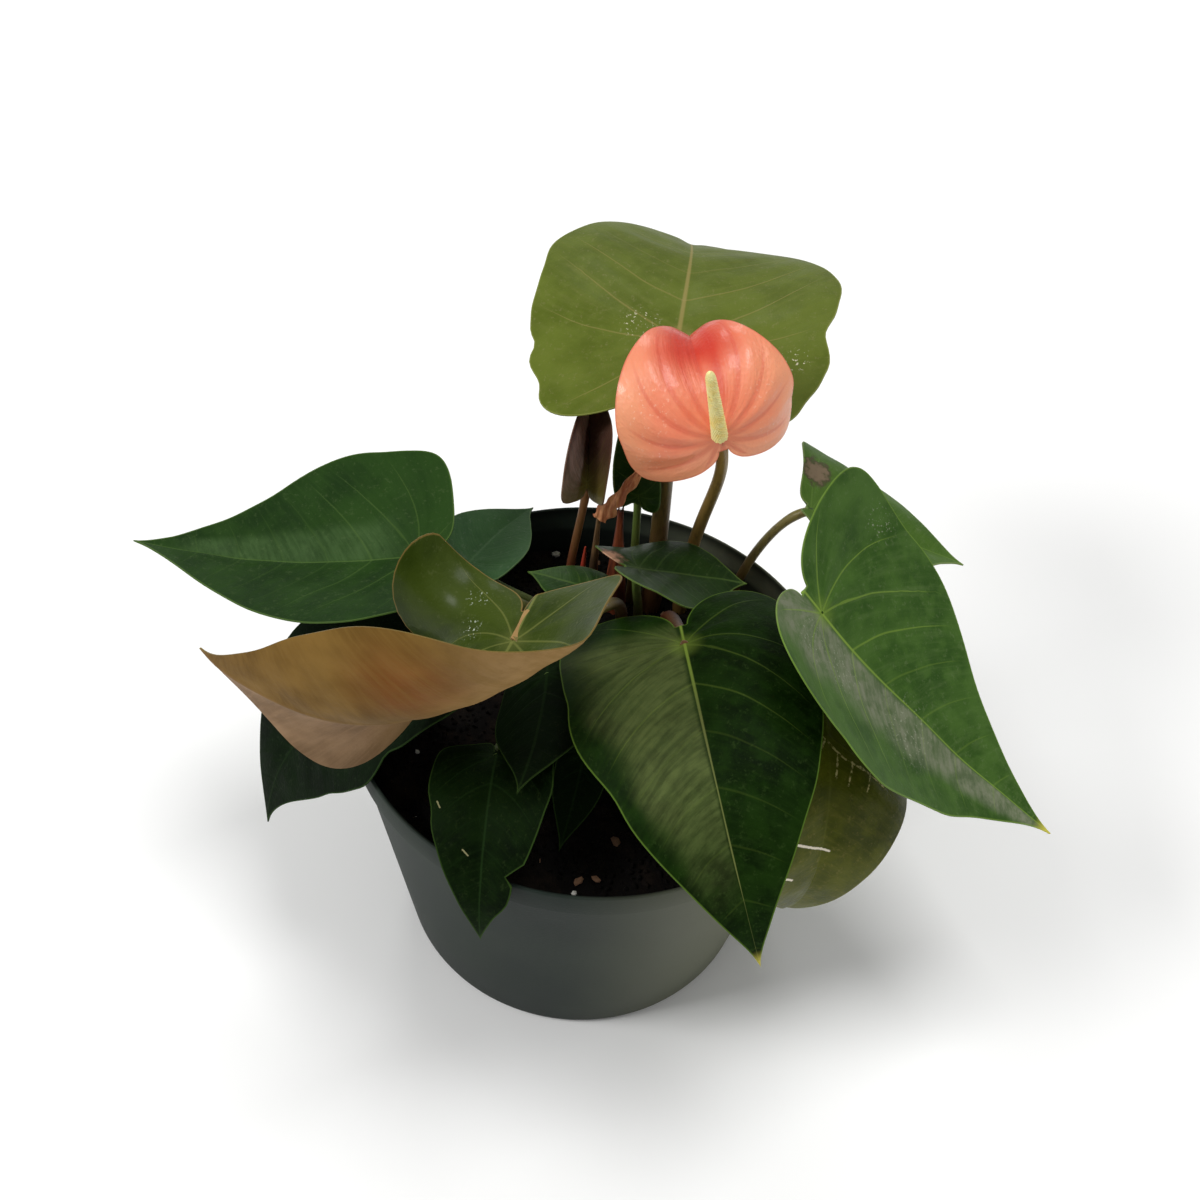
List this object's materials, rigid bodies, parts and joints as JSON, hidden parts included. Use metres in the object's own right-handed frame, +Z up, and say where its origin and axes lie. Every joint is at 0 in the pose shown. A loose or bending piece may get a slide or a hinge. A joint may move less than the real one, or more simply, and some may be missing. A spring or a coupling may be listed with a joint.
{
  "type": "potted flamingo flower",
  "caption": "Flamingo flower with heart-shaped glossy leaves, a salmon spathe and a cream spadix, growing in soil in a plain round grower's pot",
  "frame": {"origin": "centre of the pot's base, on the surface that the pot stands on", "axes": "+Z up along the pot's axis; the picture looks from -Y and above, with +X on its right"},
  "size_m": [0.2879, 0.2512, 0.2293],
  "materials": {
    "pot": "satin moulded",
    "soil": "rough peat",
    "green_leaf": "waxy gloss",
    "olive_leaf": "waxy gloss",
    "copper_leaf": "waxy gloss",
    "maroon_leaf": "waxy gloss",
    "brown_stem": "satin",
    "green_stem": "satin",
    "red_stem": "satin",
    "sheath": "dry",
    "bract": "dry",
    "spathe": "glossy wax",
    "spadix": "satin"
  },
  "bodies": {
    "root": {"pot": "pot", "soil": "soil", "leaf_far_left": "green_leaf", "stem_far_left": "green_stem", "leaf_behind_left": "green_leaf", "stem_behind_left": "green_stem", "leaf_copper": "copper_leaf", "stem_copper": "brown_stem", "leaf_low_left": "green_leaf", "stem_low_left": "brown_stem", "leaf_front": "green_leaf", "stem_front": "red_stem", "leaf_right": "green_leaf", "stem_right": "green_stem", "leaf_back_right": "green_leaf", "stem_back_right": "brown_stem", "leaf_low_right": "olive_leaf", "stem_low_right": "brown_stem", "leaf_top": "olive_leaf", "stem_top": "brown_stem", "leaf_maroon": "maroon_leaf", "stem_maroon": "red_stem", "leaf_behind_flower": "green_leaf", "stem_behind_flower": "green_stem", "leaf_center": "green_leaf", "stem_center": "green_stem", "leaf_shaded": "green_leaf", "stem_shaded": "green_stem", "leaf_hanging": "green_leaf", "stem_hanging": "green_stem", "leaf_over_rim": "green_leaf", "stem_over_rim": "green_stem", "leaf_sliver": "green_leaf", "stem_sliver": "green_stem", "spathe": "spathe", "flower_stem": "brown_stem", "spadix": "spadix", "sheath_tall": "sheath", "sheath_thin": "sheath", "shoot_red": "red_stem", "bract_dry": "bract"}
  },
  "joints": []
}
